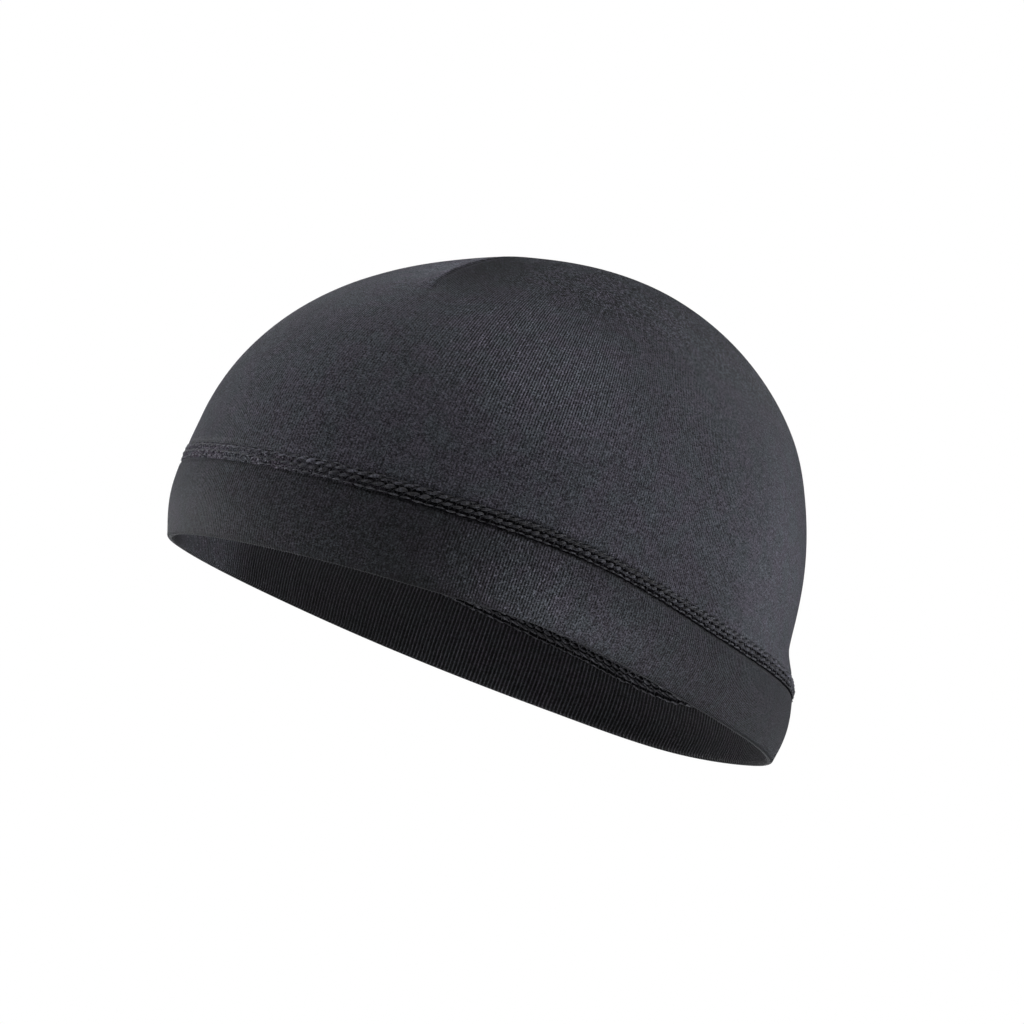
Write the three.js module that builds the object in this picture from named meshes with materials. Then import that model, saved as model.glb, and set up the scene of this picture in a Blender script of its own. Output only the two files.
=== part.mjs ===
import * as THREE from "three";

// A knit skull cap in the form it has when worn. Millimetres, +Z up.
// The origin is the centre of the head opening, in the plane of the lower rim.
// The front of the cap faces -Y and the wearer's left is +X.

// The head oval: longer from front to back, and a little wider behind than in front
const OVAL_HALF_WIDTH = 78;
const OVAL_HALF_LENGTH = 98;
const WIDER_BEHIND = 0.03;

// Heights and walls
const CROWN_TOP = 112.6;
const SEAM_WIDTH = 5;
const CROWN_WALL = 1.3;
const BAND_WALL = 2;
const SEAM_PROUD_OUTSIDE = 0.5;
const SEAM_PROUD_INSIDE = 0.5;
const GAP = 0.3;

// The band is a doubled strip: it bellies out between its folded edge and the seam
const BAND_BELLY = 1.2;

// The foot of the crown turns out to meet the seam over its first millimetres
const FOOT_HEIGHT = 4;
const FOOT_SHARE = 0.65;

// The dart: a short crease that runs from near the top toward the front
const DART_ANGLE = 274;
const DART_TIP_RISE = 37;
const DART_END_RISE = 66;
const DART_DEPTH = 1.3;
const DART_HALF_WIDTH = 3.2;
const PUCKER_DEPTH = 0.8;
const PUCKER_RADIUS = 5;

// Around the head: the angle runs from the wearer's left (0) over the back (90) to the front (270).
// rimRise and rimOut move the folded edge up and out; bandHeight is from the edge to the seam;
// bandOut moves the band's top out; tuck is how far the crown stands in behind the band's top.
const AROUND = [
  { angle: 0, rimRise: -0.1, rimOut: -0.3, bandHeight: 18.3, bandOut: 0.6, tuck: 2.1 },
  { angle: 30, rimRise: -0.9, rimOut: 0.1, bandHeight: 18.4, bandOut: 0.1, tuck: 4.3 },
  { angle: 60, rimRise: -0.4, rimOut: 0.4, bandHeight: 16.9, bandOut: -0.6, tuck: 6.5 },
  { angle: 90, rimRise: -1.1, rimOut: 0, bandHeight: 14.3, bandOut: 0, tuck: 6.3 },
  { angle: 120, rimRise: 0.3, rimOut: 0.1, bandHeight: 18.6, bandOut: 0, tuck: 5.2 },
  { angle: 150, rimRise: 1, rimOut: 0, bandHeight: 21.2, bandOut: 0.3, tuck: 3.5 },
  { angle: 180, rimRise: 1.1, rimOut: -0.3, bandHeight: 21.4, bandOut: 1, tuck: 1.8 },
  { angle: 210, rimRise: 0.1, rimOut: -0.6, bandHeight: 20.6, bandOut: 2.2, tuck: 0.8 },
  { angle: 240, rimRise: -1.5, rimOut: -0.8, bandHeight: 19.8, bandOut: 2.3, tuck: 0.8 },
  { angle: 270, rimRise: -1.4, rimOut: -0.2, bandHeight: 19.5, bandOut: 1.8, tuck: 0.8 },
  { angle: 300, rimRise: 0.4, rimOut: 0, bandHeight: 19.4, bandOut: 1.4, tuck: 0.9 },
  { angle: 330, rimRise: 2.6, rimOut: 0.4, bandHeight: 19, bandOut: 0.8, tuck: 1.4 },
];

// Up the crown: rise runs from the seam (0) to the top (90).
// fullness scales the round section there, and lean moves it toward the back.
const SECTIONS = [
  { rise: 0, fullness: 1, lean: 0 },
  { rise: 8, fullness: 1.002, lean: 0 },
  { rise: 18, fullness: 1.007, lean: 1.5 },
  { rise: 30, fullness: 1.008, lean: 4.5 },
  { rise: 44, fullness: 1.005, lean: 9.6 },
  { rise: 60, fullness: 0.975, lean: 14 },
  { rise: 76, fullness: 0.93, lean: 17 },
  { rise: 90, fullness: 0.92, lean: 17.8 },
];

// Facets
const STATIONS = 108;
const OUTER_ROWS = 17;
const INNER_ROWS = 13;
const BAND_ROWS = 4;
const FOLD_ROWS = 3;

const radians = (degrees) => (degrees * Math.PI) / 180;

// A smooth value between four even rows
function between(before, from, to, after, share) {
  const slopeFrom = (to - before) / 2;
  const slopeTo = (after - from) / 2;
  const s2 = share * share;
  const s3 = s2 * share;
  return (
    from * (2 * s3 - 3 * s2 + 1) +
    slopeFrom * (s3 - 2 * s2 + share) +
    to * (3 * s2 - 2 * s3) +
    slopeTo * (s3 - s2)
  );
}

// A column of AROUND at any angle
function around(column, angle) {
  const count = AROUND.length;
  const place = ((((angle % 360) + 360) % 360) / 360) * count;
  const row = Math.floor(place);
  const pick = (i) => AROUND[(i + count) % count][column];
  return between(pick(row - 1), pick(row), pick(row + 1), pick(row + 2), place - row);
}

// A column of SECTIONS at any rise, with slopes that fit its uneven rows
function upCrown(column, rise) {
  const last = SECTIONS.length - 1;
  let row = 0;
  while (row < last - 1 && rise > SECTIONS[row + 1].rise) row += 1;
  const slope = (i) => {
    const a = SECTIONS[Math.max(0, i - 1)];
    const b = SECTIONS[Math.min(last, i + 1)];
    return (b[column] - a[column]) / (b.rise - a.rise);
  };
  const from = SECTIONS[row];
  const to = SECTIONS[row + 1];
  const span = to.rise - from.rise;
  const share = (rise - from.rise) / span;
  const s2 = share * share;
  const s3 = s2 * share;
  return (
    from[column] * (2 * s3 - 3 * s2 + 1) +
    slope(row) * span * (s3 - 2 * s2 + share) +
    to[column] * (3 * s2 - 2 * s3) +
    slope(row + 1) * span * (s3 - s2)
  );
}

// A point on the head oval at an angle, moved outward and set at a height
function onOval(angle, outward, height) {
  const a = radians(angle);
  const halfWidth = OVAL_HALF_WIDTH * (1 + WIDER_BEHIND * Math.sin(a)) + outward;
  const halfLength = OVAL_HALF_LENGTH + outward;
  return new THREE.Vector3(halfWidth * Math.cos(a), halfLength * Math.sin(a), height);
}

const bandTop = (angle) => around("rimRise", angle) + around("bandHeight", angle);
const crownFoot = (angle) => bandTop(angle) + SEAM_WIDTH;
const footOut = (angle) => around("bandOut", angle) - (1 - FOOT_SHARE) * around("tuck", angle);

// How far the crease and its pucker sink the crown's surface
function creaseDepth(angle, rise, point) {
  const tip = creaselessCrown(DART_ANGLE, DART_TIP_RISE);
  const across = creaselessCrown(DART_ANGLE, rise).distanceTo(point);
  const fadeIn = THREE.MathUtils.smoothstep(rise, DART_TIP_RISE - 3, DART_TIP_RISE + 4);
  const fadeOut = 1 - THREE.MathUtils.smoothstep(rise, DART_END_RISE - 12, DART_END_RISE);
  const dart = DART_DEPTH * fadeIn * fadeOut * Math.exp(-((across / DART_HALF_WIDTH) ** 2));
  const away = tip.distanceTo(point) / PUCKER_RADIUS;
  return dart + PUCKER_DEPTH * Math.exp(-(away * away));
}

// The crown's outer face before the crease
function creaselessCrown(angle, rise) {
  const foot = crownFoot(angle) + GAP / 2;
  const r = radians(rise);
  const above = (CROWN_TOP - foot) * Math.sin(r);
  const turnOut = FOOT_SHARE * Math.exp(-((above / FOOT_HEIGHT) ** 2));
  const outward = around("bandOut", angle) - (1 - turnOut) * around("tuck", angle);
  const point = onOval(angle, outward, foot + above);
  const shrink = Math.cos(r) * upCrown("fullness", rise);
  return new THREE.Vector3(
    point.x * shrink,
    point.y * shrink + upCrown("lean", rise),
    point.z,
  );
}

// The way out of the crown's face at a place
function crownOutward(angle, rise) {
  const step = 0.5;
  const low = Math.min(rise, 89);
  const aside = creaselessCrown(angle + step, low).sub(creaselessCrown(angle - step, low));
  const up = creaselessCrown(angle, low + step).sub(creaselessCrown(angle, Math.max(0, low - step)));
  return aside.cross(up).normalize();
}

// The crown's outer face (depth 0) or a face inside its wall
function crownPoint(angle, rise, depth) {
  const point = creaselessCrown(angle, rise);
  const sink = depth + creaseDepth(angle, rise, point);
  return point.addScaledVector(crownOutward(angle, rise), -sink);
}

// A closed surface from rings of points that share their station count.
// With looped true the last ring joins the first; otherwise a pole closes each end.
function skin(rings, looped, firstPole, lastPole) {
  const count = rings[0].length;
  const points = rings.flat();
  const faces = [];
  const joins = looped ? rings.length : rings.length - 1;
  for (let ring = 0; ring < joins; ring += 1) {
    const here = ring * count;
    const next = ((ring + 1) % rings.length) * count;
    for (let i = 0; i < count; i += 1) {
      const j = (i + 1) % count;
      faces.push(here + i, here + j, next + j, here + i, next + j, next + i);
    }
  }
  if (!looped) {
    const first = points.push(firstPole) - 1;
    const last = points.push(lastPole) - 1;
    const end = (rings.length - 1) * count;
    for (let i = 0; i < count; i += 1) {
      const j = (i + 1) % count;
      faces.push(first, j, i, last, end + i, end + j);
    }
  }
  const geometry = new THREE.BufferGeometry().setFromPoints(points);
  geometry.setIndex(faces);
  geometry.computeVertexNormals();
  return geometry;
}

const angles = Array.from({ length: STATIONS }, (_, i) => (360 * i) / STATIONS);

// Rows sit closer together near the seam, where the foot turns out
const riseOf = (row, rows) => 90 * (row / rows) ** 1.25;

function crownGeometry() {
  const inner = [];
  for (let row = INNER_ROWS - 1; row >= 0; row -= 1) {
    inner.push(angles.map((angle) => crownPoint(angle, riseOf(row, INNER_ROWS), CROWN_WALL)));
  }
  const outer = [];
  for (let row = 0; row < OUTER_ROWS; row += 1) {
    outer.push(angles.map((angle) => crownPoint(angle, riseOf(row, OUTER_ROWS), 0)));
  }
  const lean = upCrown("lean", 90);
  const innerPole = new THREE.Vector3(0, lean, CROWN_TOP - CROWN_WALL);
  const outerPole = new THREE.Vector3(0, lean, CROWN_TOP);
  return skin([...inner, ...outer], false, innerPole, outerPole);
}

// The band's outer face, share 0 at the folded edge and 1 at the seam
function bandOutward(angle, share) {
  const rim = around("rimOut", angle);
  const top = around("bandOut", angle);
  return rim + (top - rim) * share + BAND_BELLY * Math.sin(Math.PI * share);
}

function bandGeometry() {
  const fold = BAND_WALL / 2;
  const rings = [];
  const faceRing = (share, depth) =>
    angles.map((angle) => {
      const bottom = around("rimRise", angle) + fold;
      const top = bandTop(angle) - GAP / 2;
      return onOval(angle, bandOutward(angle, share) - depth, bottom + (top - bottom) * share);
    });
  for (let row = BAND_ROWS; row >= 0; row -= 1) rings.push(faceRing(row / BAND_ROWS, BAND_WALL));
  for (let row = 1; row < FOLD_ROWS + 1; row += 1) {
    const turn = (Math.PI * row) / (FOLD_ROWS + 1);
    rings.push(
      angles.map((angle) => {
        const outward = bandOutward(angle, 0) - fold - fold * Math.cos(turn);
        return onOval(angle, outward, around("rimRise", angle) + fold - fold * Math.sin(turn));
      }),
    );
  }
  for (let row = 0; row <= BAND_ROWS; row += 1) rings.push(faceRing(row / BAND_ROWS, 0));
  return skin(rings, true);
}

// Across the seam: share 0 at the band and 1 at the crown, and how far its faces are eased in
const SEAM_PROFILE = [
  { share: 0, ease: 0.45 },
  { share: 0.16, ease: 0 },
  { share: 0.5, ease: -0.1 },
  { share: 0.84, ease: 0 },
  { share: 1, ease: 0.45 },
];

function seamGeometry() {
  const ring = (row, outside) =>
    angles.map((angle) => {
      const low = around("bandOut", angle);
      const face = low + (footOut(angle) - low) * row.share;
      const wall = BAND_WALL + (CROWN_WALL - BAND_WALL) * row.share;
      const outward = outside
        ? face + SEAM_PROUD_OUTSIDE - row.ease
        : face - wall - SEAM_PROUD_INSIDE + row.ease;
      const height = bandTop(angle) + GAP / 2 + (SEAM_WIDTH - GAP) * row.share;
      return onOval(angle, outward, height);
    });
  const inside = [...SEAM_PROFILE].reverse().map((row) => ring(row, false));
  const outside = SEAM_PROFILE.map((row) => ring(row, true));
  return skin([...inside, ...outside], true);
}

function piece(name, geometry, colour, roughness) {
  const material = new THREE.MeshStandardMaterial({ color: colour, roughness, metalness: 0 });
  const mesh = new THREE.Mesh(geometry, material);
  mesh.name = name;
  return mesh;
}

const cap = new THREE.Group();
cap.add(piece("crown", crownGeometry(), 0x3c3d43, 0.85));
cap.add(piece("band", bandGeometry(), 0x34353a, 0.85));
cap.add(piece("flatlock_seam", seamGeometry(), 0x2b2b30, 0.9));

export default cap;
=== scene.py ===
"""Dresses a packed knit skull cap for its picture: dome, doubled band, flat seam and threads."""

import logging
import math
from dataclasses import dataclass
from enum import Enum
from functools import partial
from typing import Callable

import bmesh
import bpy
import numpy as np
from mathutils import Matrix, Vector

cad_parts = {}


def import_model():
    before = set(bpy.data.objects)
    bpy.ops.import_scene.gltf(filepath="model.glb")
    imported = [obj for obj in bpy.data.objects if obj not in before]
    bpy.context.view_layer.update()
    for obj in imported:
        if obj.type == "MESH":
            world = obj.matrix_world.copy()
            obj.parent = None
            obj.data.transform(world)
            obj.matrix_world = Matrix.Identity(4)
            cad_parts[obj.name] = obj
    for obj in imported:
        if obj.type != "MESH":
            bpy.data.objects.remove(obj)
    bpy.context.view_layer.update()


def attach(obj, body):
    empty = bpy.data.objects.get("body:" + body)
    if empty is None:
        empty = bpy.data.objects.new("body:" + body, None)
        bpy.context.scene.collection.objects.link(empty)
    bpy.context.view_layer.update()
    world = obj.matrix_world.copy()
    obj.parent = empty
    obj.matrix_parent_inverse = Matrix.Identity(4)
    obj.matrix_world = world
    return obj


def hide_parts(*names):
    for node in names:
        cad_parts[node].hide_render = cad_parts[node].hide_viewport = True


log = logging.getLogger("skull_cap")

MM = 0.001
FULL_TURN = 360.0
# each piece keeps its painted light and painted shade on its points under this name
PAINTED_SHADING = "painted_shading"

Array = np.ndarray
Number = float | Array
Colour = tuple[float, float, float]
Place = tuple[float, float, float]
Span = tuple[float, float]
Placer = Callable[[Array, Array], Array]
Settings = dict[str, object]
Inputs = dict[str | int, object]


class Side(Enum):
    """A face of the cloth."""

    OUTSIDE = 1
    INSIDE = -1


@dataclass(frozen=True)
class Station:
    """One place around the head, in millimetres.

    Args:
        rim_rise: How high the band's folded edge lies.
        rim_out: How far out from the head oval that edge stands.
        band_height: How high the band is.
        band_out: How far out from the head oval its top stands.
        tuck: How far in from there the crown stands, well above the seam.
    """

    rim_rise: float
    rim_out: float
    band_height: float
    band_out: float
    tuck: float


@dataclass(frozen=True)
class Section:
    """One round section up the dome: rise in degrees, fullness as a share, lean in millimetres."""

    rise: float
    fullness: float
    lean: float


def smoothstep(value: Number, low: float, high: float) -> Number:
    """Eases from 0 at low to 1 at high.

    Args:
        value: The number or numbers to ease.
        low: Where the rise starts.
        high: Where it ends.

    Returns:
        The eased share.
    """
    share = np.clip((value - low) / (high - low), 0.0, 1.0)
    return share * share * (3.0 - 2.0 * share)


def turned_away(turn: Array, middle: float) -> Array:
    """Gives how many degrees a turn is away from the middle one."""
    return np.abs(np.mod(turn - middle + FULL_TURN / 2, FULL_TURN) - FULL_TURN / 2)


def near_turn(turn: Array, middle: float, reach: float, core: float = 0.0) -> Array:
    """Fades from 1 within core degrees of the middle turn to 0 at its reach."""
    return 1 - smoothstep(turned_away(turn, middle), core, reach)


def halves(section: Array) -> tuple[Array, Array]:
    """Tells which places lie on a section's first half, and how far along its half each is."""
    first = section < FULL_TURN / 2
    return first, np.where(first, section, FULL_TURN - section) / (FULL_TURN / 2)


def hermite(start: Number, end: Number, leaving: Number, arriving: Number, share: Number) -> Number:
    """Gives a smooth value between two rows.

    Args:
        start: The value at the first row.
        end: The value at the second row.
        leaving: The slope at the first row, over the whole span.
        arriving: The slope at the second row, over the whole span.
        share: How far along the span.

    Returns:
        The value there.
    """
    square, cube = share**2, share**3
    return (
        start * (2 * cube - 3 * square + 1)
        + leaving * (cube - 2 * square + share)
        + end * (3 * square - 2 * cube)
        + arriving * (cube - square)
    )


@dataclass(frozen=True)
class Patch:
    """A soft patch of painted light, or of painted shade where its gain is below zero.

    Args:
        turn: The turn of its middle, in degrees.
        rise: How far up its middle is, in the piece's own measure.
        turn_reach: How far it reaches around, in degrees.
        rise_reach: How far it reaches up and down.
        gain: The share added to the cloth's colour, below zero where it is darker.
    """

    turn: float
    rise: float
    turn_reach: float
    rise_reach: float
    gain: float

    def paleness(self, turn: Array, rise: Array) -> Array:
        """Gives the share added to the cloth's colour at each place."""
        aside = turned_away(turn, self.turn) / self.turn_reach
        return self.gain * np.exp(-(aside**2) - ((rise - self.rise) / self.rise_reach) ** 2)


def patched(patches: tuple[Patch, ...], turn: Array, rise: Array) -> Array:
    """Adds up what the patches give at each place."""
    return sum(patch.paleness(turn, rise) for patch in patches)


@dataclass(frozen=True)
class CapShape:
    """The cap's worn form, as its solids have it. Lengths are millimetres and angles degrees.

    A turn runs from the wearer's left (0) over the back (90) to the front (270). The belly and
    the shoulder make the band fuller, and the crown's foot turns out to meet the seam. The cover
    is how far the crown's cloth comes down over the seam.
    """

    half_width: float = 78.0
    half_length: float = 98.0
    wider_behind: float = 0.03
    top: float = 112.6
    seam_width: float = 5.0
    crown_wall: float = 1.3
    band_wall: float = 2.0
    belly: float = 1.2
    foot_height: float = 4.0
    foot_share: float = 0.65
    shoulder: float = 1.0
    shoulder_turn: float = 350.0
    shoulder_reach: float = 50.0
    shoulder_lean: float = 1.36
    cover: float = 1.1
    more_cover: float = 0.7
    cover_turn: float = 342.0
    cover_reach: float = 55.0
    stations: tuple[Station, ...] = (
        Station(-0.1, -0.3, 18.3, 0.6, 2.1),
        Station(-0.9, 0.1, 18.4, 0.1, 4.3),
        Station(-0.4, 0.4, 16.9, -0.6, 6.5),
        Station(-1.1, 0.0, 14.3, 0.0, 6.3),
        Station(0.3, 0.1, 18.6, 0.0, 5.2),
        Station(1.0, 0.0, 21.2, 0.3, 3.5),
        Station(1.1, -0.3, 21.4, 1.0, 1.8),
        Station(0.1, -0.6, 20.6, 2.2, 0.8),
        Station(-1.5, -0.8, 19.8, 2.3, 0.8),
        Station(-1.4, -0.2, 19.5, 1.8, 0.8),
        Station(0.4, 0.0, 19.4, 1.4, 0.9),
        Station(2.6, 0.4, 19.0, 0.8, 1.4),
    )
    sections: tuple[Section, ...] = (
        Section(0, 1.0, 0.0),
        Section(8, 1.002, 0.0),
        Section(18, 1.007, 1.5),
        Section(30, 1.008, 4.5),
        Section(44, 1.005, 9.6),
        Section(60, 0.975, 14.0),
        Section(76, 0.93, 17.0),
        Section(90, 0.92, 17.8),
    )

    def around(self, column: str, turn: Array) -> Array:
        """Reads a column of the stations at any turn.

        Args:
            column: The name of the column.
            turn: The turns.

        Returns:
            The smooth values there.
        """
        values = np.array([getattr(station, column) for station in self.stations])
        place = np.mod(turn, FULL_TURN) / FULL_TURN * len(values)
        row = np.floor(place).astype(int)
        before, start, end, after = (values[(row + step) % len(values)] for step in (-1, 0, 1, 2))
        return hermite(start, end, (end - before) / 2, (after - start) / 2, place - row)

    def up(self, column: str, rise: Array) -> Array:
        """Reads a column of the sections at any rise, with slopes that fit its uneven rows.

        Args:
            column: The name of the column.
            rise: The rises.

        Returns:
            The smooth values there.
        """
        rises = np.array([section.rise for section in self.sections], float)
        values = np.array([getattr(section, column) for section in self.sections])
        low = np.maximum(np.arange(len(rises)) - 1, 0)
        high = np.minimum(np.arange(len(rises)) + 1, len(rises) - 1)
        slopes = (values[high] - values[low]) / (rises[high] - rises[low])
        row = np.clip(np.searchsorted(rises, rise) - 1, 0, len(rises) - 2)
        span = rises[row + 1] - rises[row]
        leaving, arriving = slopes[row] * span, slopes[row + 1] * span
        share = (rise - rises[row]) / span
        return hermite(values[row], values[row + 1], leaving, arriving, share)

    def on_oval(self, turn: Array, outward: Number, height: Number) -> Array:
        """Gives points on the head oval, moved outward and set at a height.

        Args:
            turn: The turns.
            outward: How far out from the oval.
            height: The heights.

        Returns:
            One point a row.
        """
        angle = np.radians(turn)
        half_width = self.half_width * (1 + self.wider_behind * np.sin(angle)) + outward
        half_length = self.half_length + outward
        return np.stack(
            np.broadcast_arrays(half_width * np.cos(angle), half_length * np.sin(angle), height),
            axis=-1,
        )

    def band_top(self, turn: Array) -> Array:
        """Gives the height where the band meets the seam."""
        return self.around("rim_rise", turn) + self.around("band_height", turn)

    def covered(self, turn: Array) -> Array:
        """Gives how far the crown's cloth comes down over the seam."""
        return self.cover + self.more_cover * near_turn(turn, self.cover_turn, self.cover_reach)

    def foot_out(self, turn: Array) -> Array:
        """Gives how far out the crown's foot stands."""
        return self.around("band_out", turn) - (1 - self.foot_share) * self.around("tuck", turn)

    def dome(self, turn: Array, rise: Array) -> Array:
        """Gives the crown's outer face before its crease.

        Args:
            turn: The turns.
            rise: The rises, from the seam (0) to the top (90).

        Returns:
            One point a row.
        """
        foot = self.band_top(turn) + self.seam_width
        angle = np.radians(rise)
        above = (self.top - foot) * np.sin(angle)
        turn_out = self.foot_share * np.exp(-((above / self.foot_height) ** 2))
        outward = self.around("band_out", turn) - (1 - turn_out) * self.around("tuck", turn)
        points = self.on_oval(turn, outward, foot + above)
        shrink = np.cos(angle) * self.up("fullness", rise)
        points[..., 0] *= shrink
        points[..., 1] = points[..., 1] * shrink + self.up("lean", rise)
        return points

    def dome_outward(self, turn: Array, rise: Array) -> Array:
        """Gives the way out of the crown's face.

        Args:
            turn: The turns.
            rise: The rises.

        Returns:
            One unit vector a row.
        """
        step, steepest = 0.5, 89.0
        low = np.minimum(rise, steepest)
        aside = self.dome(turn + step, low) - self.dome(turn - step, low)
        upward = self.dome(turn, low + step) - self.dome(turn, np.maximum(low - step, 0.0))
        outward = np.cross(aside, upward)
        return outward / np.linalg.norm(outward, axis=-1, keepdims=True)

    def band_outward(self, turn: Array, share: Number) -> Array:
        """Gives how far out the band's outer face stands.

        Args:
            turn: The turns.
            share: How far up the face is, from its folded edge (0) to the seam (1).

        Returns:
            The distances out from the oval.
        """
        rim, top = self.around("rim_out", turn), self.around("band_out", turn)
        shoulder = self.shoulder * near_turn(turn, self.shoulder_turn, self.shoulder_reach)
        full = self.belly * np.sin(np.pi * share)
        full = full + shoulder * np.sin(np.pi * share**self.shoulder_lean)
        return rim + (top - rim) * share + full

    def on_seam(self, side: Side, turn: Array, across: Number, proud: Number) -> Array:
        """Gives points on the seam.

        Args:
            side: The face of the cloth.
            turn: The turns.
            across: How far up from the band's top.
            proud: How far the point stands off the cloth there.

        Returns:
            One point a row.
        """
        share = across / self.seam_width
        low = self.around("band_out", turn)
        face = low + (self.foot_out(turn) - low) * share
        if side is Side.INSIDE:
            face = face - (self.band_wall + (self.crown_wall - self.band_wall) * share)
        return self.on_oval(turn, face + side.value * proud, self.band_top(turn) + across)


@dataclass(frozen=True)
class Spots:
    """Places on the dome: their turns and rises in degrees, and their points in millimetres."""

    turn: Array
    rise: Array
    points: Array


@dataclass(frozen=True)
class Dart:
    """The short crease near the top: a ridge that ends in a dimple. Lengths are millimetres."""

    turn: float = 275.6
    lean: float = -0.31
    tip_rise: float = 38.0
    end_rise: float = 66.0
    end_fade: float = 14.0
    ridge: float = 1.6
    ridge_fade: Span = (-2.0, 5.0)
    left_reach: float = 7.0
    right_reach: float = 9.0
    sunk_share: float = 0.45
    sunk_reach: float = 22.0
    edge: float = 0.35
    groove: float = 0.3
    groove_place: float = 0.9
    groove_reach: float = 0.7
    dimple: float = 0.7
    dimple_turn: float = 1.2
    dimple_reach: float = 2.4
    # the crease has painted light on one side and painted shade on the other
    pale: float = 0.8
    dark: float = 0.75
    painted_edge: float = 0.5
    painted_reach: float = 15.0
    painted_fade: Span = (-6.0, 8.0)

    def across(self, shape: CapShape, spots: Spots) -> Array:
        """Works out how far spots are from the crease.

        Args:
            shape: The cap's form.
            spots: The spots.

        Returns:
            The distance of each spot, below zero on the wearer's right.
        """
        line = self.turn + self.lean * (spots.rise - self.tip_rise)
        apart = np.linalg.norm(shape.dome(line, spots.rise) - spots.points, axis=-1)
        return np.where(np.mod(spots.turn - line, FULL_TURN) < FULL_TURN / 2, apart, -apart)

    def shown(self, rise: Array, fade: Span) -> Array:
        """Fades the crease in over its tip and out over its upper end."""
        tip = smoothstep(rise, self.tip_rise + fade[0], self.tip_rise + fade[1])
        return tip * (1 - smoothstep(rise, self.end_rise - self.end_fade, self.end_rise))

    def paleness(self, shape: CapShape, spots: Spots) -> Array:
        """Gives painted light on one side of the crease and painted shade on the other.

        Args:
            shape: The cap's form.
            spots: The spots.

        Returns:
            The share added to the cloth's colour, below zero where it is darker.
        """
        across = self.across(shape, spots)
        side = smoothstep(across, -self.painted_edge, self.painted_edge)
        near = np.exp(-((across / self.painted_reach) ** 2)) * self.shown(spots.rise, self.painted_fade)
        return near * (self.pale - (self.pale + self.dark) * side)

    def height(self, shape: CapShape, spots: Spots) -> Array:
        """Works out how far the crease lifts the dome.

        Args:
            shape: The cap's form.
            spots: The spots.

        Returns:
            The lift of each spot, below zero where it sinks.
        """
        across = self.across(shape, spots)
        reach = np.where(across > 0, self.right_reach, self.left_reach)
        crest = np.exp(-(np.sqrt(across**2 + self.edge**2) - self.edge) / reach)
        ridge = self.ridge * (crest - self.sunk_share * np.exp(-((across / self.sunk_reach) ** 2)))
        groove = self.groove * np.exp(-(((across - self.groove_place) / self.groove_reach) ** 2))
        lifted = self.shown(spots.rise, self.ridge_fade) * (ridge - groove)
        tip = shape.dome(np.array([self.turn + self.dimple_turn]), np.array([self.tip_rise]))
        away = np.linalg.norm(spots.points - tip, axis=-1) / self.dimple_reach
        return lifted - self.dimple * np.exp(-(away**2))


class Value:
    """A number socket that takes part in sums and products."""

    def __init__(self, tree: "NodeTree", socket: bpy.types.NodeSocket) -> None:
        """Keeps the socket and the tree it belongs to."""
        self.tree = tree
        self.socket = socket

    def __add__(self, other: "Value | float") -> "Value":
        """Adds."""
        return self.tree.math("ADD", self, other)

    def __sub__(self, other: "Value | float") -> "Value":
        """Takes away."""
        return self.tree.math("SUBTRACT", self, other)

    def __rsub__(self, other: float) -> "Value":
        """Takes away from a number."""
        return self.tree.math("SUBTRACT", other, self)

    def __mul__(self, other: "Value | float") -> "Value":
        """Multiplies."""
        return self.tree.math("MULTIPLY", self, other)

    __radd__, __rmul__ = __add__, __mul__

    def __truediv__(self, other: "Value | float") -> "Value":
        """Divides."""
        return self.tree.math("DIVIDE", self, other)

    def __pow__(self, other: float) -> "Value":
        """Raises to a power."""
        return self.tree.math("POWER", self, other)

    def wave(self) -> "Value":
        """Gives a wave of the phase, from 0 to 1."""
        return self.tree.math("COSINE", self) * 0.5 + 0.5

    def ramp(self, low: float, high: float) -> "Value":
        """Eases from 0 at low to 1 at high."""
        settings = {"interpolation_type": "SMOOTHSTEP"}
        inputs = {"Value": self, "From Min": low, "From Max": high}
        return self.tree.value("ShaderNodeMapRange", settings, inputs, "Result")


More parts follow.
